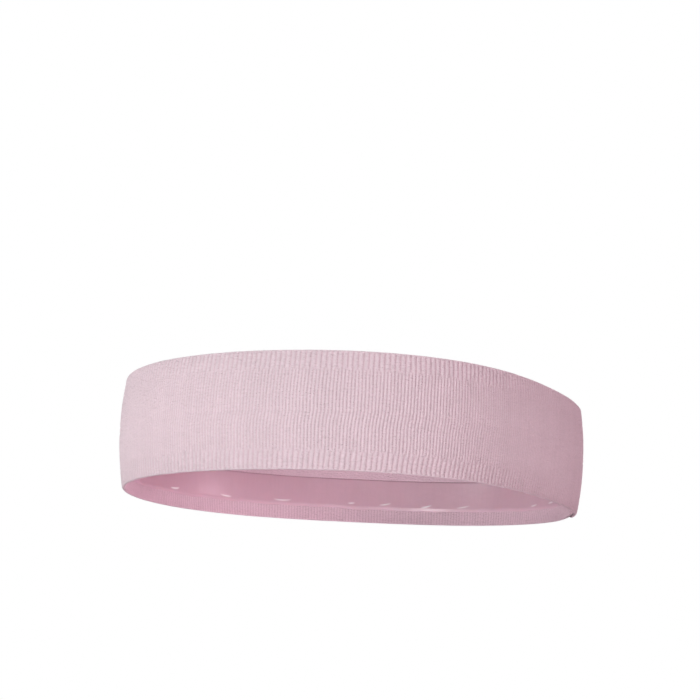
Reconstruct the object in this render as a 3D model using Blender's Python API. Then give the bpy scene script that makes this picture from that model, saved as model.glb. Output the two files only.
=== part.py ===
"""Elastic no-slip headband: a strip of ribbed elastic webbing, lapped and sewn into a loop.

Metres, +Z up. The origin is the middle of the loop's length and width, on the plane that its lower
edge rests on. +Z runs along the loop's axis, and +X points at the sewn lap. Every layer of the
webbing is swept along one shared path, so the layers stay parallel all the way round.
"""

import math

import bpy

# Driving dimensions of the relaxed band.
BAND_WIDTH = 0.038
LOOP_RADIUS = 0.0804
EDGE_CURL = 0.0016
TAPER = 0.0008

# The relaxed loop is a soft egg, whose narrow end lies a little way round from the lap. These shares
# of the radius go round the loop in two, three and four lobes.
OVAL, PEAR, SQUARE = 0.043, 0.045, 0.018
LOOP_LOBES = ((OVAL, 2), (PEAR, 3), (SQUARE, 4))
NARROW_END = math.radians(19)

# The webbing's layers, from the outside in.
FACE_THICKNESS = 0.00035
CORE_THICKNESS = 0.00030
BACKING_THICKNESS = 0.00030
GRIP_THICKNESS = 0.00035
LAYER_GAP = 0.00012
WEBBING_THICKNESS = FACE_THICKNESS + CORE_THICKNESS + BACKING_THICKNESS + 2 * LAYER_GAP

# What each layer holds across the width.
SELVEDGE_HEIGHT = 0.0008
CORE_COUNT = 12
CORE_HEIGHT = 0.0005
CORE_MARGIN = 0.0030
BARE_BORDER = 0.0056
GROOVE_BETWEEN_GRIPS = 0.0040

# The lap, where the strip's ends overlap and are sewn together.
LAP_LENGTH = 0.010
LAP_GAP = 0.0002
LAP_STEPS = 4
RAMP_LENGTH = 0.018
RAMP_STEPS = 4
LOOP_STEPS = 56

# Zigzag seams across the lap.
SEAM_OFFSET = 0.0026
ZIGZAG_WIDTH = 0.0018
ZIGZAG_PITCH = 0.0026
THREAD_RADIUS = 0.00016
THREAD_CLEARANCE = 0.00012
SEAM_MARGIN = 0.0022

# How far each of the lap's two layers stands aside, and how far the stitches stand out from it.
LAP_STEP = (WEBBING_THICKNESS + LAP_GAP) / 2
STITCH_STAND = THREAD_CLEARANCE + 2 * THREAD_RADIUS


def clear_scene():
    for item in list(bpy.data.objects):
        bpy.data.objects.remove(item, do_unlink=True)


def new_collection(name):
    collection = bpy.data.collections.new(name)
    bpy.context.scene.collection.children.link(collection)
    return collection


def material(name, colour, roughness, metallic=0.0):
    made = bpy.data.materials.new(name)
    made.use_nodes = True
    shader = made.node_tree.nodes["Principled BSDF"]
    shader.inputs["Base Color"].default_value = (*colour, 1.0)
    shader.inputs["Roughness"].default_value = roughness
    shader.inputs["Metallic"].default_value = metallic
    made.diffuse_color = (*colour, 1.0)
    return made


def outline(angle):
    """The outline's radius at this angle from the lap, and how fast it changes, as shares of the radius."""
    radius, slope = 1.0, 0.0
    for share, lobes in LOOP_LOBES:
        radius += share * math.cos(lobes * (angle - NARROW_END))
        slope -= share * lobes * math.sin(lobes * (angle - NARROW_END))
    return radius, slope


def pole_point(angle, outward):
    """A point of the outline, measured from its pole and moved outward along the outline's normal."""
    radius, slope = outline(angle)
    along = (
        slope * math.cos(angle) - radius * math.sin(angle),
        slope * math.sin(angle) + radius * math.cos(angle),
    )
    length = math.hypot(*along)
    return (
        LOOP_RADIUS * radius * math.cos(angle) + outward * along[1] / length,
        LOOP_RADIUS * radius * math.sin(angle) - outward * along[0] / length,
    )


def lap_angle(distance):
    """The angle of a point this far round the outline from the middle of the lap."""
    return distance / (LOOP_RADIUS * math.hypot(*outline(0.0)))


def lap_offset(distance, layer):
    """How far the strip steps aside near the lap; layer is 1 for its outer end and -1 for its inner end."""
    past_lap = min(max((distance - LAP_LENGTH / 2) / RAMP_LENGTH, 0.0), 1.0)
    return layer * LAP_STEP * (1 + math.cos(math.pi * past_lap)) / 2


def middle_of_box():
    """The middle of the band's box in plan, measured from the outline's pole."""
    reach = math.degrees(lap_angle(LAP_LENGTH / 2))
    points = []
    for degree in range(-180, 180):
        angle = math.radians(degree)
        distance = abs(angle) / lap_angle(1.0)
        stitches = STITCH_STAND if abs(degree) < reach else 0.0
        points.append(pole_point(angle, lap_offset(distance, 1 if degree < reach else -1) + stitches))
    lows, highs = map(min, zip(*points)), map(max, zip(*points))
    return [(low + high) / 2 for low, high in zip(lows, highs)]


MIDDLE = middle_of_box()


def loop_point(angle, outward=0.0):
    """A point of the loop's outline, moved outward along the outline's normal."""
    x, y = pole_point(angle, outward)
    return x - MIDDLE[0], y - MIDDLE[1]


def webbing_path():
    """The strip's path as (x, y): it starts as the lap's inner layer and ends as its outer layer."""
    reach = LAP_LENGTH / 2 + RAMP_LENGTH
    end = [LAP_LENGTH * (step / LAP_STEPS - 0.5) for step in range(LAP_STEPS)]
    end += [LAP_LENGTH / 2 + RAMP_LENGTH * step / RAMP_STEPS for step in range(RAMP_STEPS)]
    free = 2 * math.pi - 2 * lap_angle(reach)
    points = [loop_point(lap_angle(place), lap_offset(place, -1)) for place in end]
    for step in range(LOOP_STEPS + 1):
        points.append(loop_point(lap_angle(reach) + free * step / LOOP_STEPS))
    points += [loop_point(-lap_angle(place), lap_offset(place, 1)) for place in reversed(end)]
    return points


def face_line(height):
    """How far the outer face stands out from the path at this height: the band's edges curl inwards."""
    across = 2 * height / BAND_WIDTH - 1
    return TAPER * across / 2 - EDGE_CURL * across * across


def layer_section(depth, thickness, low, high, rows):
    """One layer's closed section as (outward, height) points; depth is its distance under the face."""
    heights = [low + (high - low) * row / (rows - 1) for row in range(rows)]
    inside = [(face_line(height) - depth - thickness, height) for height in heights]
    outside = [(face_line(height) - depth, height) for height in reversed(heights)]
    return inside + outside


def poly_curve(name, points, closed, collection):
    curve = bpy.data.curves.new(name, "CURVE")
    curve.dimensions = "3D"
    spline = curve.splines.new("POLY")
    spline.points.add(len(points) - 1)
    for target, point in zip(spline.points, points):
        target.co = (*point, 1.0)
    spline.use_cyclic_u = closed
    made = bpy.data.objects.new(name, curve)
    collection.objects.link(made)
    return made


def sweep(name, section, finish, parts, guides, path=None):
    """One layer: its section swept along the webbing's path, with both ends capped."""
    profile = poly_curve(name + "_section", [(out, up, 0.0) for out, up in section], True, guides)
    profile.hide_render = True
    profile.display_type = "WIRE"
    layer = poly_curve(name, [(x, y, 0.0) for x, y in path or webbing_path()], False, parts)
    layer.data.twist_mode = "Z_UP"
    layer.data.bevel_mode = "OBJECT"
    layer.data.bevel_object = profile
    layer.data.use_fill_caps = True
    layer.data.materials.append(finish)
    return layer


def ribbed_face(finish, parts, guides):
    low = SELVEDGE_HEIGHT + LAYER_GAP
    section = layer_section(0.0, FACE_THICKNESS, low, BAND_WIDTH - low, 7)
    sweep("ribbed_face", section, finish, parts, guides)


def plain_backing(finish, parts, guides):
    low = SELVEDGE_HEIGHT + LAYER_GAP
    depth = FACE_THICKNESS + CORE_THICKNESS + 2 * LAYER_GAP
    section = layer_section(depth, BACKING_THICKNESS, low, BAND_WIDTH - low, 7)
    sweep("plain_backing", section, finish, parts, guides)


def selvedges(finish, parts, guides):
    lower = layer_section(0.0, WEBBING_THICKNESS, 0.0, SELVEDGE_HEIGHT, 2)
    upper = layer_section(0.0, WEBBING_THICKNESS, BAND_WIDTH - SELVEDGE_HEIGHT, BAND_WIDTH, 2)
    sweep("selvedge_lower", lower, finish, parts, guides)
    sweep("selvedge_upper", upper, finish, parts, guides)


def rubber_cores(finish, parts, guides):
    depth = FACE_THICKNESS + LAYER_GAP
    spacing = (BAND_WIDTH - 2 * CORE_MARGIN) / (CORE_COUNT - 1)
    for number in range(CORE_COUNT):
        low = CORE_MARGIN + spacing * number - CORE_HEIGHT / 2
        section = layer_section(depth, CORE_THICKNESS, low, low + CORE_HEIGHT, 2)
        sweep(f"rubber_core_{number + 1:02d}", section, finish, parts, guides)


def grip_strips(finish, parts, guides):
    """Two lanes of silicone, which stop one ramp step short of the lap so that it can be sewn."""
    bare = LAP_STEPS + 1
    path = webbing_path()[bare:-bare]
    depth = WEBBING_THICKNESS + LAYER_GAP
    height = BAND_WIDTH / 2 - BARE_BORDER - GROOVE_BETWEEN_GRIPS / 2
    lower = layer_section(depth, GRIP_THICKNESS, BARE_BORDER, BARE_BORDER + height, 3)
    top = BAND_WIDTH - BARE_BORDER
    upper = layer_section(depth, GRIP_THICKNESS, top - height, top, 3)
    sweep("grip_strip_lower", lower, finish, parts, guides, path)
    sweep("grip_strip_upper", upper, finish, parts, guides, path)


def zigzag(centre, standoff):
    """Points of a zigzag seam up the lap: centre is along the loop, standoff is out from the path."""
    steps = round((BAND_WIDTH - 2 * SEAM_MARGIN) / (ZIGZAG_PITCH / 2))
    rise = (BAND_WIDTH - 2 * SEAM_MARGIN) / steps
    points = []
    for step in range(steps + 1):
        height = SEAM_MARGIN + rise * step
        side = ZIGZAG_WIDTH / 2 if step % 2 else -ZIGZAG_WIDTH / 2
        across = loop_point(lap_angle(centre + side), standoff + face_line(height))
        points.append((*across, height))
    return points


def seam_threads(finish, parts, anchor):
    """Two rows, each with a needle thread on the face and a bobbin thread inside the loop."""
    clear = THREAD_RADIUS + THREAD_CLEARANCE
    outside = lap_offset(0.0, 1) + clear
    inside = lap_offset(0.0, -1) - WEBBING_THICKNESS - clear
    for kind, standoff in (("needle", outside), ("bobbin", inside)):
        for row, centre in (("a", -SEAM_OFFSET), ("b", SEAM_OFFSET)):
            thread = poly_curve(f"seam_{kind}_thread_{row}", zigzag(centre, standoff), False, parts)
            thread.data.bevel_depth = THREAD_RADIUS
            thread.data.bevel_resolution = 0
            thread.data.use_fill_caps = True
            thread.data.materials.append(finish)
            thread.parent = anchor
            thread.matrix_parent_inverse = anchor.matrix_world.inverted()


def seam_anchor(collection):
    """The moving end of the loop: an empty on the stretch joint's axis, at the middle of the lap."""
    anchor = bpy.data.objects.new("seam_anchor", None)
    anchor.location = (*loop_point(0.0), BAND_WIDTH / 2)
    collection.objects.link(anchor)
    bpy.context.view_layer.update()
    return anchor


def main():
    clear_scene()
    parts = new_collection("headband")
    guides = new_collection("guides")
    yarn = material("pink_ribbed_yarn", (0.70, 0.52, 0.59), 0.85)
    backing = material("pink_backing_yarn", (0.58, 0.38, 0.46), 0.85)
    edge = material("pink_edge_yarn", (0.72, 0.55, 0.61), 0.80)
    rubber = material("natural_rubber", (0.80, 0.74, 0.62), 0.60)
    silicone = material("clear_pink_silicone", (0.52, 0.31, 0.40), 0.25)
    thread = material("pink_sewing_thread", (0.68, 0.48, 0.56), 0.60)
    ribbed_face(yarn, parts, guides)
    plain_backing(backing, parts, guides)
    selvedges(edge, parts, guides)
    rubber_cores(rubber, parts, guides)
    grip_strips(silicone, parts, guides)
    seam_threads(thread, parts, seam_anchor(parts))


main()
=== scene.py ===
"""Looks of the elastic no-slip headband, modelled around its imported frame.

Every cloth, rubber and silicone layer is one closed mesh, swept along the loop's outline. A layer's
points are set by three numbers: the distance round the loop from the middle of the lap, the depth
under the outer face, and the height above the lower edge.
"""

import math

import bpy
import numpy as np
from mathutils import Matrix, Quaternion, Vector


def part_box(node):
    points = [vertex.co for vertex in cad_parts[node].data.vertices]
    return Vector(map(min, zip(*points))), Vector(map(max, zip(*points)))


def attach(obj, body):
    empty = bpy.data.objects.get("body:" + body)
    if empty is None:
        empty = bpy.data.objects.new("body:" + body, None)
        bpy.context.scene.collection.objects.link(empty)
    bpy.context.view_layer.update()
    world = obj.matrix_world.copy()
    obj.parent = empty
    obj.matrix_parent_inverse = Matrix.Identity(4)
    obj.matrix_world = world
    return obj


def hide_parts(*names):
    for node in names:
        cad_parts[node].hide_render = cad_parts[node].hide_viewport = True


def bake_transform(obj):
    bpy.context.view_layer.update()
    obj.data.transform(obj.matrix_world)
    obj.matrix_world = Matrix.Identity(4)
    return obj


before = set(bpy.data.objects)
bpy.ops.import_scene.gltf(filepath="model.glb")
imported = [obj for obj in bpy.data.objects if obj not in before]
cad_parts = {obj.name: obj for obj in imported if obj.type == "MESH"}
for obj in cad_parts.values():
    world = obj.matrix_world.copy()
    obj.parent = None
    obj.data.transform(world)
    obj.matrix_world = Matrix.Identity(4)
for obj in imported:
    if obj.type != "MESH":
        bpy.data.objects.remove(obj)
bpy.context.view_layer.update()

MM = 0.001

# The loop's outline, as in the frame: shares of its radius that go round it in two, three and four lobes.
# Its narrow end lies a little way round from the lap.
OVAL, PEAR, SQUARE = 0.043, 0.045, 0.018
LOOP_LOBES = ((OVAL, 2), (PEAR, 3), (SQUARE, 4))
NARROW_END = math.radians(19)
EDGE_CURL = 1.6 * MM
TAPER = 0.8 * MM

# The layers' depths under the outer face.
FACE_BACK = 0.44 * MM
CORE_TOP, CORE_BACK = 0.47 * MM, 0.77 * MM
BACKING_TOP, BACKING_BACK = 0.89 * MM, 1.19 * MM
GRIP_TOP, GRIP_BACK = 1.21 * MM, 1.64 * MM
LAYERS_MEET = 0.62 * MM

# The lap. Its outer and inner layers stand LAP_STEP to either side of the loop's line.
LAP_LENGTH = 10 * MM
RAMP_LENGTH = 18 * MM
LAP_STEP = (BACKING_BACK + 0.2 * MM) / 2
SEAM_OFFSET = 2.6 * MM
ZIGZAG_WIDTH = 1.8 * MM
ZIGZAG_PITCH = 2.6 * MM

# The silicone lanes, the sewing thread and the rubber cores.
GRIP_END = 9.5 * MM
GRIP_COLUMNS_PER_RIB = 3
GRIP_HIDDEN_ROWS = 7
THREAD_RADIUS = 0.15 * MM
THREAD_SIDES = 12
STEPS_PER_STITCH = 22
TWISTS_PER_STITCH = 2.5
CORE_STEPS = 640
CORE_SIDES = 10
CORE_CUT_BACK = 0.8 * MM

# Sizes read from the frame.
FACE_LOW, FACE_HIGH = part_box("ribbed_face")
BAND_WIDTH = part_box("selvedge_upper")[1].z
MID_HEIGHT = BAND_WIDTH / 2

# The weave: the ribs run up the band, three fine ones in the field to two coarse ones in the borders.
# They fade out over END_FADE at the strip's cut ends, and unevenness fades over EDGE_FADE at its edges.
# LOOP_PITCH is the height in millimetres of one yarn loop on a rib.
FINE_RIBS = 459
FINE_COLUMNS = 6
COARSE_COLUMNS = 9
COLUMNS = FINE_RIBS * FINE_COLUMNS
FINE_DEPTH = 0.32 * MM
COARSE_DEPTH = 0.36 * MM
CREST = 0.06 * MM
BACKING_DEPTH = 0.14 * MM
LOOP_PITCH = 0.42
BORDER = 6.1 * MM
BORDER_BLEND = 0.8 * MM
CLOTH_EDGE = 0.86 * MM
TIGHT = 0.03 * MM
END_FADE = 0.8 * MM
EDGE_FADE = 0.9 * MM
LEAST_CLOTH = 0.03 * MM
RIB_POWER = 0.65
STITCH_PULL, STITCH_REACH = 0.11 * MM, 1.0 * MM
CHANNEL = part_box("grip_strip_upper")[0].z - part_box("grip_strip_lower")[1].z


# ---------------------------------------------------------------- the loop's shape

def smoothstep(value):
    value = np.clip(value, 0.0, 1.0)
    return value * value * (3 - 2 * value)


def ridge(offset, width):
    """A smooth bump: 1 where the offset is 0, and next to nothing at two widths from it."""
    return np.exp(-((offset / width) ** 2))


def polar(angle):
    """The outline's radius at this angle from the lap, and how fast it changes, as shares of the radius."""
    radius, slope = np.ones_like(angle), np.zeros_like(angle)
    for share, lobes in LOOP_LOBES:
        radius = radius + share * np.cos(lobes * (angle - NARROW_END))
        slope = slope - share * lobes * np.sin(lobes * (angle - NARROW_END))
    return radius, slope


def place_outline():
    """The outline's radius, and the pole that it is drawn around, from the box of the frame's face."""
    angles = np.linspace(0, 2 * math.pi, 3601)
    radius = polar(angles)[0]
    x, y = radius * np.cos(angles), radius * np.sin(angles)
    size = (FACE_HIGH.y - FACE_LOW.y) / (y.max() - y.min())
    return size, Vector((FACE_LOW.x - size * x.min(), FACE_LOW.y - size * y.min(), MID_HEIGHT))


LOOP_RADIUS, POLE = place_outline()
LAP_RADIUS = LOOP_RADIUS * np.hypot(*polar(np.zeros(1)))[0]


def outline(angle, outward):
    """Plan points of the loop's outline, moved outward along its normal."""
    radius, slope = polar(angle)
    along_x = slope * np.cos(angle) - radius * np.sin(angle)
    along_y = slope * np.sin(angle) + radius * np.cos(angle)
    length = np.hypot(along_x, along_y)
    x = LOOP_RADIUS * radius * np.cos(angle) + outward * along_y / length + POLE.x
    y = LOOP_RADIUS * radius * np.sin(angle) - outward * along_x / length + POLE.y
    return x, y


def arc_table():
    """Angles from one turn before the lap to one turn after it, with their distances round the loop."""
    angles = np.linspace(0, 2 * math.pi, 7201)
    x, y = outline(angles, 0.0)
    once = np.concatenate([[0.0], np.cumsum(np.hypot(np.diff(x), np.diff(y)))])
    length = once[-1]
    turns = (-1, 0, 1)
    all_angles = np.concatenate([angles[:-1] + 2 * math.pi * turn for turn in turns])
    return all_angles, np.concatenate([once[:-1] + length * turn for turn in turns]), length


ARC_ANGLES, ARC_LENGTHS, LOOP_LENGTH = arc_table()
STRIP_START = -LAP_LENGTH / 2
STRIP_END = LOOP_LENGTH + LAP_LENGTH / 2


def lap_offset(angle):
    """The strip's step aside near the lap: inwards for its first end, outwards for its last."""
    from_lap = np.where(angle < math.pi, np.abs(angle), np.abs(2 * math.pi - angle)) * LAP_RADIUS
    past = np.clip((from_lap - LAP_LENGTH / 2) / RAMP_LENGTH, 0.0, 1.0)
    return np.where(angle < math.pi, -1.0, 1.0) * LAP_STEP * (1 + np.cos(math.pi * past)) / 2


def face_line(height):
    """How far the outer face stands out from the path at this height: the edges curl inwards."""
    across = 2 * height / BAND_WIDTH - 1
    return TAPER * across / 2 - EDGE_CURL * across * across


def place(distance, depth, height):
    """Points of the band, as an array whose last axis is x, y, z."""
    distance, depth, height = np.broadcast_arrays(distance, depth, height)
    angle = np.interp(distance, ARC_LENGTHS, ARC_ANGLES)
    x, y = outline(angle, lap_offset(angle) + face_line(height) - depth)
    return np.stack([x, y, height], axis=-1)


def value_noise(along, across, spacing, seed):
    """Smooth noise between -1 and 1 over a flat sheet, with knots at the given spacing.

    The same seed always gives the same noise, so every use has its own.
    """
    along, across = np.broadcast_arrays(along / spacing[0], across / spacing[1])
    low_a, low_b = math.floor(along.min()), math.floor(across.min())
    size = (math.ceil(along.max()) - low_a + 2, math.ceil(across.max()) - low_b + 2)
    knots = np.random.default_rng(seed).uniform(-1, 1, size)
    cell_a, cell_b = np.floor(along).astype(int), np.floor(across).astype(int)
    share_a, share_b = smoothstep(along - cell_a), smoothstep(across - cell_b)
    cell_a, cell_b = cell_a - low_a, cell_b - low_b
    near = knots[cell_a, cell_b] * (1 - share_a) + knots[cell_a + 1, cell_b] * share_a
    far = knots[cell_a, cell_b + 1] * (1 - share_a) + knots[cell_a + 1, cell_b + 1] * share_a
    return near * (1 - share_b) + far * share_b


def from_ends(distance):
    """Distance to the nearer cut end of the strip."""
    return np.minimum(distance - STRIP_START, STRIP_END - distance)


# ---------------------------------------------------------------- meshes

def swept_mesh(name, points, uv, marks):
    """A closed mesh from a grid of points, whose second axis goes round the layer's section."""
    columns, ring = points.shape[:2]
    index = np.arange(columns * ring).reshape(columns, ring)
    after = np.roll(index, -1, axis=1)
    quads = np.stack([index[:-1], index[1:], after[1:], after[:-1]], axis=-1).reshape(-1, 4)
    corners = np.concatenate([quads.ravel(), index[0], index[-1][::-1]])
    counts = np.concatenate([np.full(len(quads), 4), [ring, ring]])
    mesh = bpy.data.meshes.new(name)
    mesh.vertices.add(columns * ring)
    mesh.vertices.foreach_set("co", points.astype(np.float32).ravel())
    mesh.loops.add(len(corners))
    mesh.loops.foreach_set("vertex_index", corners.astype(np.int32))
    mesh.polygons.add(len(counts))
    starts = np.concatenate([[0], np.cumsum(counts)[:-1]])
    mesh.polygons.foreach_set("loop_start", starts.astype(np.int32))
    mesh.polygons.foreach_set("loop_total", counts.astype(np.int32))
    mesh.update(calc_edges=True)
    layer = mesh.uv_layers.new(name="weave")
    layer.data.foreach_set("uv", uv.reshape(-1, 2)[corners].astype(np.float32).ravel())
    for mark, values in marks.items():
        spread = np.broadcast_to(values, (columns, ring)).astype(np.float32)
        mesh.attributes.new(mark, "FLOAT", "POINT").data.foreach_set("value", spread.ravel())
    mesh.shade_smooth()
    sharp = mesh.attributes.new("sharp_face", "BOOLEAN", "FACE")
    flat = np.zeros(len(counts), bool)
    flat[-2:] = True
    sharp.data.foreach_set("value", flat)
    made = bpy.data.objects.new(name, mesh)
    bpy.context.scene.collection.objects.link(made)
    return made


def stretch_piece(piece, node, finish):
    """The piece stands for its node, which is hidden, and its place is baked into its points."""
    piece.data.materials.append(finish)
    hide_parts(node)
    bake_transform(piece)


def sew_piece(piece, node, finish):
    piece.data.materials.append(finish)
    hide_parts(node)
    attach(piece, "lap_seam")


# ---------------------------------------------------------------- the webbing

def rib_arch(phase):
    """A rounded rib: 0 in the narrow valleys at whole numbers, 1 on the crest between them."""
    return np.abs(np.sin(math.pi * phase)) ** RIB_POWER


def border_share(distance, height):
    """1 in the two coarse borders, 0 in the fine field. The change wavers from rib to rib."""
    from_edge = np.minimum(height, BAND_WIDTH - height)
    waver = 0.35 * MM * value_noise(distance, height, (1.9 * MM, BAND_WIDTH / 2), 8)
    return 1 - smoothstep((from_edge - BORDER + waver + BORDER_BLEND / 2) / BORDER_BLEND)


def rib_lean(distance, height):
    """How far a rib has wandered along the strip at this height. It settles to nothing at the cut ends."""
    up = height / BAND_WIDTH
    upper = 1.5 * MM * smoothstep((up - 0.5) / 0.9)
    kink = 0.55 * MM * smoothstep((up - 0.36) / 0.15)
    border = 0.25 * MM * smoothstep((up - 0.03) / 0.15)
    vary = 1 + 0.45 * value_noise(distance, height, (60 * MM, 50 * MM), 3)
    wander = 0.16 * MM * value_noise(distance, height, (9 * MM, 8 * MM), 4)
    wander = wander + 0.07 * MM * value_noise(distance, height, (2.6 * MM, 5 * MM), 5)
    settle = smoothstep((from_ends(distance) - 1 * MM) / (16 * MM))
    return settle * (vary * (upper + kink + border) + wander)


def crease_depth(distance, height):
    """The shallow crease round the band at mid height, with a fainter one just above it."""
    wave = 0.25 * MM * value_noise(distance, height * 0, (22 * MM, 1), 7)
    lower = ridge(height - MID_HEIGHT + 0.4 * MM + wave, 0.55 * MM)
    upper = ridge(height - MID_HEIGHT - 1.5 * MM + wave, 0.5 * MM)
    return 0.19 * MM * lower + 0.09 * MM * upper


def seam_press(distance):
    """How far the two rows of stitches pull the cloth down."""
    rows = 0.0
    for centre in (-SEAM_OFFSET, SEAM_OFFSET):
        rows = rows + ridge(distance - centre, STITCH_REACH)
    return STITCH_PULL * rows


def half_rows():
    """Heights of the face's rows from its lower edge up, close together where the weave changes."""
    lip = CLOTH_EDGE / MM + np.array([0, TIGHT / MM, 0.9])
    border = np.linspace(3.4, 4.9, 2)
    change = np.linspace(5.6, 6.8, 3)
    field = np.linspace(8.8, 15.8, 4)
    crease = np.linspace(17.1, 18.6, 3)
    return np.concatenate([lip, border, change, field, crease]) * MM


def fused(distance):
    """1 at the strip's cut ends, where heat has closed the layers onto each other, and 0 past them."""
    return 1 - smoothstep(from_ends(distance) / (0.6 * MM))


def strip_columns():
    """The cloth's columns, as numbers and as even distances along the strip."""
    column = np.arange(COLUMNS + 1.0)[:, None]
    return column, STRIP_START + (STRIP_END - STRIP_START) * column / COLUMNS


def cloth_marks(distance, relief, inner):
    """What the yarn's colour needs: crest or valley, with painted shade in the valleys, the fused cut ends,
    and the side of the band, with painted light on its inner side.
    """
    sealed = 1 - smoothstep(from_ends(distance) / (0.9 * MM))
    marks = {"relief": relief, "sealed": sealed, "inner": inner}
    return {name: np.broadcast_to(values, relief.shape) for name, values in marks.items()}


def cloth_uv(column, height):
    """Across in ribs and up in millimetres."""
    return np.stack(np.broadcast_arrays(column / FINE_COLUMNS, height / MM), axis=-1)


def ribbed_face():
    lower = half_rows()
    rows = np.concatenate([lower, [MID_HEIGHT], BAND_WIDTH - lower[::-1]])
    back_rows = np.linspace(rows[-1], rows[0], 5)
    height = np.concatenate([rows, back_rows])[None, :]
    outer = np.concatenate([np.ones(len(rows)), np.zeros(len(back_rows))])[None, :]
    column, even = strip_columns()
    distance = even + rib_lean(even, height)
    border = border_share(even, height)
    relief = rib_arch(column / FINE_COLUMNS) * (1 - border) + rib_arch(column / COARSE_COLUMNS) * border
    fade = smoothstep(from_ends(even) / END_FADE)
    relief = 1 - (1 - relief) * fade
    valley = FINE_DEPTH * (1 - border) + COARSE_DEPTH * border
    fade = fade * smoothstep(np.minimum(height - rows[0], rows[-1] - height) / EDGE_FADE)
    uneven = 0.035 * MM * value_noise(even, height, (3.2 * MM, 4 * MM), 11)
    uneven = uneven + 0.05 * MM * value_noise(even, height, (14 * MM, 9 * MM), 12)
    ledge = 0.05 * MM * ridge(np.minimum(height, BAND_WIDTH - height) - BORDER, 0.5 * MM)
    dip = valley * (1 - relief) - CREST + fade * (uneven + ledge + crease_depth(even, height))
    dip = np.minimum(dip + seam_press(even - LOOP_LENGTH), FACE_BACK - LEAST_CLOTH)
    depth = np.where(outer > 0, dip, FACE_BACK + (LAYERS_MEET - FACE_BACK) * fused(even))
    marks = cloth_marks(even, np.where(outer > 0, relief, 0.0), 0.0)
    points = place(distance, depth, height)
    return swept_mesh("ribbed_face_cloth", points, cloth_uv(column, height), marks)


def backing_rows():
    """Heights of the backing's rows on its bare side, from the top down."""
    bare = np.concatenate([[CLOTH_EDGE / MM], np.linspace((CLOTH_EDGE + TIGHT) / MM, 5.2, 6)])
    hidden = np.linspace(6.4, 16.5, 4)
    channel = np.linspace(17.2, 18.75, 3)
    lower = np.concatenate([bare, hidden, channel]) * MM
    return np.concatenate([BAND_WIDTH - lower, [MID_HEIGHT], lower[::-1]])


def plain_backing():
    """The cloth behind the silicone: finely ribbed, but plain in the channel between the lanes."""
    bare_rows = backing_rows()
    hidden_rows = np.linspace(bare_rows[-1], bare_rows[0], 6)
    height = np.concatenate([hidden_rows, bare_rows])[None, :]
    bare = np.concatenate([np.zeros(len(hidden_rows)), np.ones(len(bare_rows))])[None, :]
    column, even = strip_columns()
    distance = even + 0.4 * rib_lean(even, height)
    from_middle = np.abs(height - MID_HEIGHT)
    ribbed = smoothstep((from_middle - CHANNEL / 2 + 0.2 * MM) / (0.6 * MM))
    fade = smoothstep(from_ends(even) / END_FADE)
    relief = 1 - (1 - rib_arch(column / FINE_COLUMNS)) * fade * ribbed
    from_edge = np.minimum(height - CLOTH_EDGE, BAND_WIDTH - CLOTH_EDGE - height)
    uneven = 0.03 * MM * value_noise(even, height, (3 * MM, 4 * MM), 21)
    uneven = uneven * fade * smoothstep(from_edge / EDGE_FADE)
    crease = 0.06 * MM * ridge(from_middle, 0.2 * MM)
    rise = BACKING_DEPTH * (1 - relief) + uneven + crease + seam_press(even)
    hidden = BACKING_TOP + (LAYERS_MEET + TIGHT - BACKING_TOP) * fused(even)
    depth = np.where(bare > 0, BACKING_BACK - rise, hidden)
    marks = cloth_marks(even, np.where(bare > 0, relief, 0.0), 1.0)
    points = place(distance, depth, height)
    return swept_mesh("plain_backing_cloth", points, cloth_uv(column, height), marks)


def superellipse(turn, power):
    """Across and up shares of a rounded section; a small power makes it squarer."""
    return [np.abs(wave) ** power * np.sign(wave) for wave in (np.cos(turn), np.sin(turn))]


def selvedge(name, low, high):
    """A locked edge: the ribs of both sides run out on it, and it is round where the weft turns back."""
    below = low < MID_HEIGHT
    turn = np.concatenate([[0], np.linspace(0.02, math.pi - 0.02, 15), [math.pi]])
    turn = turn[::-1] if below else turn
    across = (np.abs(np.cos(turn)) ** 0.35 * np.sign(np.cos(turn)))[None, :]
    reach = (np.abs(np.sin(turn)) ** 0.8)[None, :]
    column, even = strip_columns()
    outer_relief = rib_arch(column / COARSE_COLUMNS)
    inner_relief = rib_arch(column / FINE_COLUMNS)
    fade = smoothstep((0.95 - reach) / np.where(across > 0, 0.7, 0.3))
    fade = fade * smoothstep(from_ends(even) / END_FADE)
    outer_dip = (COARSE_DEPTH * (1 - outer_relief) - CREST) * fade
    inner_dip = BACKING_DEPTH * (1 - inner_relief) * fade
    swell = 0.03 * MM * value_noise(even, across, (5 * MM, 1), 31) * reach
    free_edge, joint = (low, CLOTH_EDGE) if below else (high, BAND_WIDTH - CLOTH_EDGE)
    height = joint + (free_edge - joint) * reach + (swell - 0.03 * MM * reach) * (-1 if below else 1)
    flat = BACKING_BACK / 2 * (1 - across)
    depth = flat + np.where(across > 0, outer_dip, -inner_dip)
    distance = even + (0.7 + 0.3 * across) * rib_lean(even, height)
    relief = 1 - (1 - np.where(across > 0, outer_relief, inner_relief)) * fade
    marks = cloth_marks(even, relief, smoothstep((0.4 - across) / 0.8))
    return swept_mesh(name, place(distance, depth, height), cloth_uv(column, height), marks)


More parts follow.
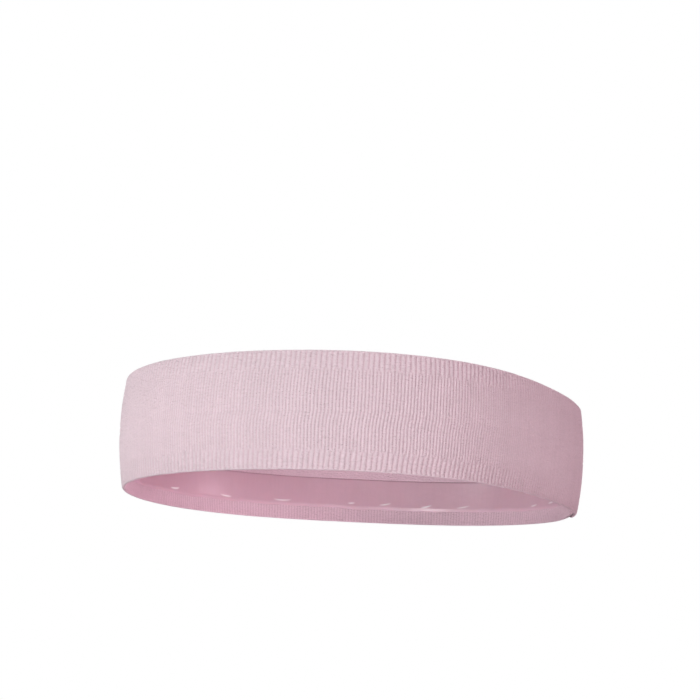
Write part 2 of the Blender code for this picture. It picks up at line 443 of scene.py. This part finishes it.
def rubber_core(name, low, high, seed):
    """One lengthwise rubber core, cut from sheet, so its section is a soft rectangle."""
    share = np.arange(CORE_STEPS + 1.0)[:, None] / CORE_STEPS
    first, last = STRIP_START + CORE_CUT_BACK, STRIP_END - CORE_CUT_BACK
    even = first + (last - first) * share
    turn = 2 * math.pi * (np.arange(CORE_SIDES)[None, :] + 0.5) / CORE_SIDES
    across, up = superellipse(turn, 0.5)
    swell = 1 - 0.06 * (1 + value_noise(even, turn, (4 * MM, 3), seed))
    height = (low + high) / 2 + (high - low) / 2 * up * swell
    depth = (CORE_TOP + CORE_BACK) / 2 - (CORE_BACK - CORE_TOP) / 2 * across * swell
    uv = np.stack(np.broadcast_arrays(even / MM, turn), axis=-1)
    return swept_mesh(name, place(even, depth, height), uv, {})


def lifted_skin(distance, into, seed):
    """Short crescents near a lane's outer edge where the skin stands off the cloth, from 0 to 1. They also
    mark where the silicone is whitened as painted glints.
    """
    draw = np.random.default_rng(seed)
    lift_and_glint = 0.0
    middle = 24 * MM
    while middle < LOOP_LENGTH - 24 * MM:
        half, start = draw.uniform(1.4, 4.2) * MM, draw.uniform(1.3, 2.0) * MM
        tilt = draw.uniform(-0.2, 0.1)
        along = distance - middle
        line = start + tilt * along + 30 * along * along
        crest = ridge(into - line, 0.23 * MM) * np.clip(1 - (along / half) ** 2, 0, 1)
        lift_and_glint = lift_and_glint + crest * draw.uniform(0.1, 0.9)
        middle += draw.uniform(6, 33) * MM
    return lift_and_glint


def lane_rows(width):
    """Distances in from a lane's outer edge, close together where the skin lifts and at the far edge."""
    feather = np.linspace(0, 0.9, 4)
    crescents = np.linspace(1.1, 2.9, 10)
    rest = np.linspace(3.6, width / MM - 0.8, 6)
    shoulder = width / MM - np.array([0.35, 0.2, 0.1, 0.03, 0.0])
    return np.concatenate([feather, crescents, rest, shoulder]) * MM


def grip_lane(name, low, high, seed):
    """A lane of clear silicone: thin and wavering at its outer edge, square at the channel."""
    steps = FINE_RIBS * GRIP_COLUMNS_PER_RIB
    even = GRIP_END + (LOOP_LENGTH - 2 * GRIP_END) * np.arange(steps + 1.0)[:, None] / steps
    width = high - low
    rows = lane_rows(width)
    into = np.concatenate([np.linspace(0, width, GRIP_HIDDEN_ROWS), rows[::-1]])[None, :]
    open_side = np.concatenate([np.zeros(GRIP_HIDDEN_ROWS), np.ones(len(rows))])[None, :]
    thin = 0.08 + 0.92 * smoothstep(into / (1.3 * MM))
    shoulder = np.sin(math.pi / 2 * np.clip((width - into) / (0.3 * MM), 0, 1)) ** 0.7
    waver = -0.35 + 0.22 * value_noise(even, into * 0, (4 * MM, 1), seed)
    waver = waver + 0.14 * value_noise(even, into * 0, (15 * MM, 1), seed + 1)
    from_outer = into + waver * MM * (1 - smoothstep(into / (3 * MM)))
    below = low < MID_HEIGHT
    height = low + from_outer if below else high - from_outer
    lift_and_glint = lifted_skin(even, into, seed + 2)
    skin = 0.05 * value_noise(even, into, (6 * MM, 4 * MM), seed + 3)
    skin = skin + 0.03 * value_noise(even, into, (1.4 * MM, 5 * MM), seed + 4)
    thick = (GRIP_BACK - GRIP_TOP) * (0.9 + skin) * thin * shoulder + 0.14 * MM * lift_and_glint
    depth = GRIP_TOP + open_side * thick
    uv = np.stack(np.broadcast_arrays(even / MM, height / MM), axis=-1)
    # The strip beside the channel edge, which the silicone's colour darkens as painted shade.
    channel_edge_shade = smoothstep((into - width + 0.45 * MM) / (0.3 * MM))
    marks = {"lift_and_glint": lift_and_glint * open_side, "thin": (1 - thin) * np.ones_like(even)}
    marks["channel_edge_shade"] = channel_edge_shade * np.ones_like(even)
    order = slice(None) if below else slice(None, None, -1)
    marks = {mark: values[:, order] for mark, values in marks.items()}
    return swept_mesh(name, place(even, depth, height)[:, order], uv[:, order], marks)


# ---------------------------------------------------------------- sewing

def zigzag_corners(centre, low, high):
    """The stitch holes of one seam, as distances along the strip and heights."""
    steps = round((high - low) / (ZIGZAG_PITCH / 2))
    heights = np.linspace(low, high, steps + 1)
    side = np.where(np.arange(steps + 1) % 2, ZIGZAG_WIDTH / 2, -ZIGZAG_WIDTH / 2)
    return centre + side, heights


def thread(name, centre, low, high, outside):
    """A three-ply sewing thread that dips into the cloth at every stitch hole."""
    along, heights = zigzag_corners(centre, low, high)
    corner = np.arange(STEPS_PER_STITCH * (len(heights) - 1) + 1) / STEPS_PER_STITCH
    line = np.interp(corner, np.arange(len(along)), along)
    height = np.interp(corner, np.arange(len(heights)), heights)
    arch = np.abs(np.sin(math.pi * corner)) ** 0.45
    stand = (0.17 * arch - 0.22 * (1 - arch)) * MM
    surface = 0.06 * MM if outside else BACKING_BACK - 0.06 * MM
    depth = surface - stand if outside else surface + stand
    layer_turn = LOOP_LENGTH if outside else 0.0
    path = place(line + layer_turn, depth, height)
    tangent = np.gradient(path, axis=0)
    tangent /= np.linalg.norm(tangent, axis=1, keepdims=True)
    outward = place(line + layer_turn, depth - 1 * MM, height) - path
    side = np.cross(tangent, outward)
    side /= np.linalg.norm(side, axis=1, keepdims=True)
    normal = np.cross(side, tangent)
    turn = 2 * math.pi * np.arange(THREAD_SIDES) / THREAD_SIDES
    twist = 2 * math.pi * corner * TWISTS_PER_STITCH
    ply = THREAD_RADIUS * (0.86 + 0.14 * np.abs(np.cos(1.5 * (turn[None, :] - twist[:, None]))))
    ring = path[:, None, :] + ply[:, :, None] * (
        np.cos(turn)[None, :, None] * normal[:, None, :] - np.sin(turn)[None, :, None] * side[:, None, :]
    )
    uv = np.stack(np.broadcast_arrays(corner[:, None], turn[None, :]), axis=-1)
    return swept_mesh(name, ring, uv, {})


# ---------------------------------------------------------------- materials

class Shader:
    """A material's node tree, with short calls for adding nodes and linking them."""

    def __init__(self, name):
        self.material = bpy.data.materials.new(name)
        self.material.use_nodes = True
        self.tree = self.material.node_tree
        self.surface = self.tree.nodes["Principled BSDF"]

    def link(self, target, value):
        if isinstance(value, bpy.types.NodeSocket):
            self.tree.links.new(value, target)
        else:
            target.default_value = value

    def add(self, kind, inputs, **settings):
        made = self.tree.nodes.new(kind)
        for name, value in settings.items():
            setattr(made, name, value)
        for name, value in inputs.items():
            self.link(made.inputs[name], value)
        return made

    def math(self, operation, first, second=0.0, third=0.0):
        inputs = {0: first, 1: second, 2: third}
        return self.add("ShaderNodeMath", inputs, operation=operation).outputs[0]

    def mark(self, name):
        return self.add("ShaderNodeAttribute", {}, attribute_name=name).outputs["Fac"]

    def uv(self, across, up):
        """The weave's coordinates, each multiplied by its own number."""
        source = self.add("ShaderNodeUVMap", {}, uv_map="weave").outputs[0]
        scaled = self.add("ShaderNodeMapping", {"Vector": source, "Scale": (across, up, 1.0)})
        return scaled.outputs[0]

    def noise(self, vector, scale, detail=2.0, roughness=0.5):
        inputs = {"Vector": vector, "Scale": scale, "Detail": detail, "Roughness": roughness}
        return self.add("ShaderNodeTexNoise", inputs).outputs["Fac"]

    def spread(self, value, low, high):
        """Maps 0 to 1 onto low to high."""
        return self.math("MULTIPLY_ADD", value, high - low, low)

    def mix(self, share, first, second):
        node = self.add("ShaderNodeMix", {}, data_type="RGBA", clamp_factor=True)
        for socket, value in ((node.inputs[0], share), (node.inputs[6], first), (node.inputs[7], second)):
            self.link(socket, value)
        return node.outputs[2]

    def shade(self, colour, brightness):
        """The colour multiplied by a brightness near 1."""
        inputs = {"Color": colour, "Value": brightness}
        return self.add("ShaderNodeHueSaturation", inputs).outputs[0]

    def bump(self, height, distance, normal=None):
        inputs = {"Height": height, "Distance": distance, "Strength": 1.0}
        if normal:
            inputs["Normal"] = normal
        return self.add("ShaderNodeBump", inputs).outputs[0]

    def finish(self, **inputs):
        for name, value in inputs.items():
            self.link(self.surface.inputs[name.replace("_", " ")], value)
        return self.material


def rgb(red, green, blue):
    return (red, green, blue, 1.0)


YARN_CREST = rgb(0.73, 0.61, 0.655)
# The valley colours are darker than the crests: painted shade in the rib valleys.
YARN_VALLEY_PAINTED_SHADE = rgb(0.66, 0.49, 0.545)
# The backing's colours are lighter than the face's yarn: painted light on the band's inner side, and
# painted shade in its valleys.
BACKING_CREST_PAINTED_LIGHT = rgb(0.83, 0.615, 0.70)
BACKING_VALLEY_PAINTED_SHADE_AND_LIGHT = rgb(0.70, 0.49, 0.57)
SEALED_EDGE = rgb(0.60, 0.41, 0.47)


def yarn(name):
    """Ribbed yarn: fine loops cross each rib, ribs differ a little in tone, and cut ends are fused. Valleys
    get painted shade, and the inner side gets painted light.
    """
    s = Shader(name)
    relief, inner, sealed = s.mark("relief"), s.mark("inner"), s.mark("sealed")
    flat = s.uv(1.13, 1.0)
    split = s.add("ShaderNodeSeparateXYZ", {"Vector": s.uv(1.0, 1.0)}).outputs
    rib_tone = s.add("ShaderNodeTexWhiteNoise", {"W": s.math("FLOOR", split[0])}, noise_dimensions="1D")
    rib_tone = rib_tone.outputs["Value"]
    speckle = s.noise(flat, 1.6, 3.0, 0.7)
    cloud = s.noise(flat, 0.12, 2.0)
    # Valleys take darker colours as painted shade; the inner side takes the backing's lighter colours as
    # painted light.
    outside = s.mix(relief, YARN_VALLEY_PAINTED_SHADE, YARN_CREST)
    inside = s.mix(relief, BACKING_VALLEY_PAINTED_SHADE_AND_LIGHT, BACKING_CREST_PAINTED_LIGHT)
    bright = s.math("MULTIPLY", s.spread(rib_tone, 0.985, 1.015), s.spread(speckle, 0.85, 1.15))
    bright = s.math("MULTIPLY", bright, s.spread(cloud, 0.97, 1.03))
    colour = s.mix(sealed, s.shade(s.mix(inner, outside, inside), bright), SEALED_EDGE)
    wobble = s.math("MULTIPLY", s.noise(flat, 1.1), 2.2)
    phase = s.math("MULTIPLY_ADD", split[1], 2 * math.pi / LOOP_PITCH,
                   s.math("MULTIPLY_ADD", rib_tone, 5.0, wobble))
    lumps = s.noise(s.uv(0.7, 1.5), 1.0, 2.0, 0.6)
    fibre = s.math("MULTIPLY_ADD", s.noise(flat, 1.8, 4.0, 0.75), 1.2, s.noise(flat, 6.0, 3.0, 0.65))
    height = s.math("MULTIPLY_ADD", s.math("SINE", phase), 0.35, fibre)
    height = s.math("MULTIPLY_ADD", lumps, 6.0, height)
    return s.finish(Base_Color=colour, Roughness=s.spread(sealed, 0.80, 0.45),
                    Normal=s.bump(height, 0.09 * MM), Sheen_Weight=0.12, Sheen_Roughness=0.45,
                    Sheen_Tint=rgb(1, 0.93, 0.95))


def clear_silicone():
    """Clear silicone over pink cloth: glossy, with a soft skin, whitened where it lifts as painted glints
    and paler lifted skin, painted shade along its channel edge, and specks of lint.
    """
    s = Shader("clear_silicone")
    flat = s.uv(1.0, 1.0)
    cloud = s.noise(flat, 0.14, 3.0)
    streak = s.noise(s.uv(1.6, 0.12), 1.0, 2.0)
    lint = s.add("ShaderNodeTexVoronoi", {"Vector": s.uv(1.0, 0.4), "Scale": 0.35}).outputs["Distance"]
    speck = s.math("LESS_THAN", lint, 0.05)
    # The silicone's own two tones, set lighter as painted light on the band's inner side.
    colour = s.mix(cloud, rgb(0.597, 0.385, 0.46), rgb(0.66, 0.434, 0.51))
    colour = s.shade(colour, s.spread(streak, 0.96, 1.04))
    colour = s.mix(s.math("MULTIPLY", speck, 0.25), colour, rgb(0.80, 0.66, 0.70))
    colour = s.mix(s.mark("thin"), colour, rgb(0.77, 0.52, 0.61))
    # A dark line along the channel edge: painted shade in the crevice beside the silicone's square edge.
    colour = s.mix(s.math("MULTIPLY", s.mark("channel_edge_shade"), 0.55), colour, rgb(0.34, 0.18, 0.23))
    # Where the skin lifts the colour goes almost to white: painted glints, partly the paler look of lifted
    # skin.
    lift_and_glint = s.math("MULTIPLY", s.mark("lift_and_glint"), 1.6)
    colour = s.mix(lift_and_glint, colour, rgb(1.0, 0.97, 0.97))
    rough = s.spread(s.noise(flat, 0.5, 3.0), 0.42, 0.55)
    skin = s.math("ADD", s.noise(flat, 0.35, 2.0), s.math("MULTIPLY", s.noise(flat, 2.2, 2.0), 0.15))
    return s.finish(Base_Color=colour, Roughness=rough, Normal=s.bump(skin, 0.08 * MM),
                    Coat_Weight=0.25, Coat_Roughness=0.2, Subsurface_Weight=0.1,
                    Subsurface_Scale=0.8 * MM)


def core_rubber():
    s = Shader("core_rubber")
    grain = s.noise(s.uv(0.8, 1.0), 2.0, 3.0)
    colour = s.mix(grain, rgb(0.70, 0.62, 0.50), rgb(0.84, 0.78, 0.67))
    return s.finish(Base_Color=colour, Roughness=s.spread(grain, 0.5, 0.7),
                    Normal=s.bump(grain, 0.03 * MM))


def sewing_thread():
    s = Shader("sewing_thread")
    fibre = s.noise(s.uv(6.0, 1.2), 2.5, 3.0)
    colour = s.mix(fibre, rgb(0.56, 0.37, 0.44), rgb(0.76, 0.58, 0.64))
    return s.finish(Base_Color=colour, Roughness=0.5, Normal=s.bump(fibre, 0.02 * MM), Sheen_Weight=0.4)


# ---------------------------------------------------------------- the pieces

def build_webbing():
    stretch_piece(ribbed_face(), "ribbed_face", yarn("ribbed_yarn"))
    stretch_piece(plain_backing(), "plain_backing", yarn("backing_yarn"))
    edge = yarn("edge_yarn")
    for node in ("selvedge_lower", "selvedge_upper"):
        low, high = (corner.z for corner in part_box(node))
        stretch_piece(selvedge(node + "_edge", low, high), node, edge)


def build_cores():
    rubber = core_rubber()
    for number in range(1, 13):
        node = f"rubber_core_{number:02d}"
        low, high = (corner.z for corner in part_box(node))
        stretch_piece(rubber_core(node + "_cord", low, high, 40 + number), node, rubber)


def build_grips():
    silicone = clear_silicone()
    for node, seed in (("grip_strip_lower", 61), ("grip_strip_upper", 71)):
        low, high = (corner.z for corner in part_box(node))
        stretch_piece(grip_lane(node + "_lane", low, high, seed), node, silicone)


def build_seams():
    finish = sewing_thread()
    for kind, outside in (("needle", True), ("bobbin", False)):
        for row, centre in (("a", -SEAM_OFFSET), ("b", SEAM_OFFSET)):
            node = f"seam_{kind}_thread_{row}"
            low, high = (corner.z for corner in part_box(node))
            sew_piece(thread(node + "_stitches", centre, low, high, outside), node, finish)


# ---------------------------------------------------------------- stage, light and camera

VIEW_AZIMUTH = math.radians(-12.9)
VIEW_ELEVATION = math.radians(-8.26)
VIEW_DISTANCE = 0.6711
VIEW_LENS = 97.4
VIEW_ROLL = math.radians(2.48)
AIM_RAISE = 0.0350
AIM_RIGHT = -0.0019


def direction(azimuth, elevation):
    """Unit vector from the object towards a viewer; azimuth 0 is -Y, and it turns towards +X."""
    flat = math.cos(elevation)
    return Vector((math.sin(azimuth) * flat, -math.cos(azimuth) * flat, math.sin(elevation)))


def add_camera():
    data = bpy.data.cameras.new("view")
    data.lens = VIEW_LENS
    data.sensor_width = 36
    data.clip_start = 0.01
    camera = bpy.data.objects.new("view", data)
    bpy.context.scene.collection.objects.link(camera)
    camera.location = POLE + VIEW_DISTANCE * direction(VIEW_AZIMUTH, VIEW_ELEVATION)
    right = Vector((math.cos(VIEW_AZIMUTH), math.sin(VIEW_AZIMUTH), 0))
    aim = POLE + AIM_RIGHT * right + Vector((0, 0, AIM_RAISE))
    turn = (aim - camera.location).to_track_quat("-Z", "Y")
    camera.rotation_mode = "QUATERNION"
    camera.rotation_quaternion = turn @ Quaternion((0, 0, 1), VIEW_ROLL)
    bpy.context.scene.camera = camera


FLOOR_HALF = 0.9
FLOOR_DROP = 0.3 * MM
FLOOR_LIFT = 0.4
FADE_START, FADE_END = 0.12, 0.6


def add_floor():
    """A pale floor just under the band, fading to white. It doesn't show from below."""
    mesh = bpy.data.meshes.new("floor")
    corners = [(x * FLOOR_HALF, y * FLOOR_HALF, 0) for x, y in ((-1, -1), (1, -1), (1, 1), (-1, 1))]
    mesh.from_pydata(corners, [], [(0, 1, 2, 3)])
    floor = bpy.data.objects.new("floor", mesh)
    floor.location.z = -FLOOR_DROP
    floor.visible_shadow = False
    bpy.context.scene.collection.objects.link(floor)
    s = Shader("pale_floor")
    spot = s.add("ShaderNodeTexCoord", {}).outputs["Object"]
    grain = s.noise(spot, 3.0)
    reach = s.add("ShaderNodeVectorMath", {0: spot}, operation="LENGTH").outputs["Value"]
    far = s.add("ShaderNodeMapRange", {"Value": reach, "From Min": FADE_START, "From Max": FADE_END})
    lift = s.spread(far.outputs[0], FLOOR_LIFT, 1.0)
    colour = s.mix(grain, rgb(0.80, 0.80, 0.80), rgb(0.83, 0.83, 0.83))
    seen = s.add("ShaderNodeLightPath", {}).outputs["Is Camera Ray"]
    s.finish(Base_Color=colour, Roughness=0.9, Emission_Color=rgb(1, 1, 1),
             Emission_Strength=s.math("MULTIPLY", seen, lift))
    clear = s.add("ShaderNodeBsdfTransparent", {})
    behind = s.add("ShaderNodeNewGeometry", {}).outputs["Backfacing"]
    mixed = s.add("ShaderNodeMixShader", {0: behind, 1: s.surface.outputs[0], 2: clear.outputs[0]})
    s.link(s.tree.nodes["Material Output"].inputs["Surface"], mixed.outputs[0])
    mesh.materials.append(s.material)


def add_world():
    """White to the camera, and no light of its own."""
    world = bpy.data.worlds.new("studio")
    bpy.context.scene.world = world
    world.use_nodes = True
    tree = world.node_tree
    background = tree.nodes["Background"]
    background.inputs["Color"].default_value = rgb(1, 1, 1)
    seen = tree.nodes.new("ShaderNodeLightPath").outputs["Is Camera Ray"]
    tree.links.new(seen, background.inputs["Strength"])


# Every light's name, azimuth, elevation, size in metres, power in watts, and green and blue against red.
LIGHTS = (
    ("front_low", -28, -10, 0.3, 7, (1, 1)),
    ("front_left", -55, 5, 0.5, 5.5, (1, 1)),
    ("left", -113, 28, 0.5, 1.2, (1, 1)),
    ("right", 62, 28, 0.5, 6.6, (0.71, 0.80)),
    ("low_right", 50, -45, 0.5, 0.9, (0.88, 0.91)),
    ("back", 160, 65, 0.5, 6.8, (0.94, 0.96)),
    ("back_left", 197, 15, 0.5, 5, (0.98, 0.98)),
)
LIGHT_DISTANCE = 1.2


def add_light(name, azimuth, elevation, size, power, tint):
    data = bpy.data.lights.new(name, "AREA")
    data.shape = "DISK"
    data.size = size
    data.energy = power
    data.color = (1, *tint)
    light = bpy.data.objects.new(name, data)
    light.visible_camera = False
    bpy.context.scene.collection.objects.link(light)
    away = direction(math.radians(azimuth), math.radians(elevation))
    light.location = POLE + LIGHT_DISTANCE * away
    light.rotation_mode = "QUATERNION"
    light.rotation_quaternion = away.to_track_quat("Z", "Y")


def add_studio():
    add_world()
    add_floor()
    for light in LIGHTS:
        add_light(*light)
    bpy.context.scene.view_settings.view_transform = "Standard"


build_webbing()
build_cores()
build_grips()
build_seams()
add_studio()
add_camera()
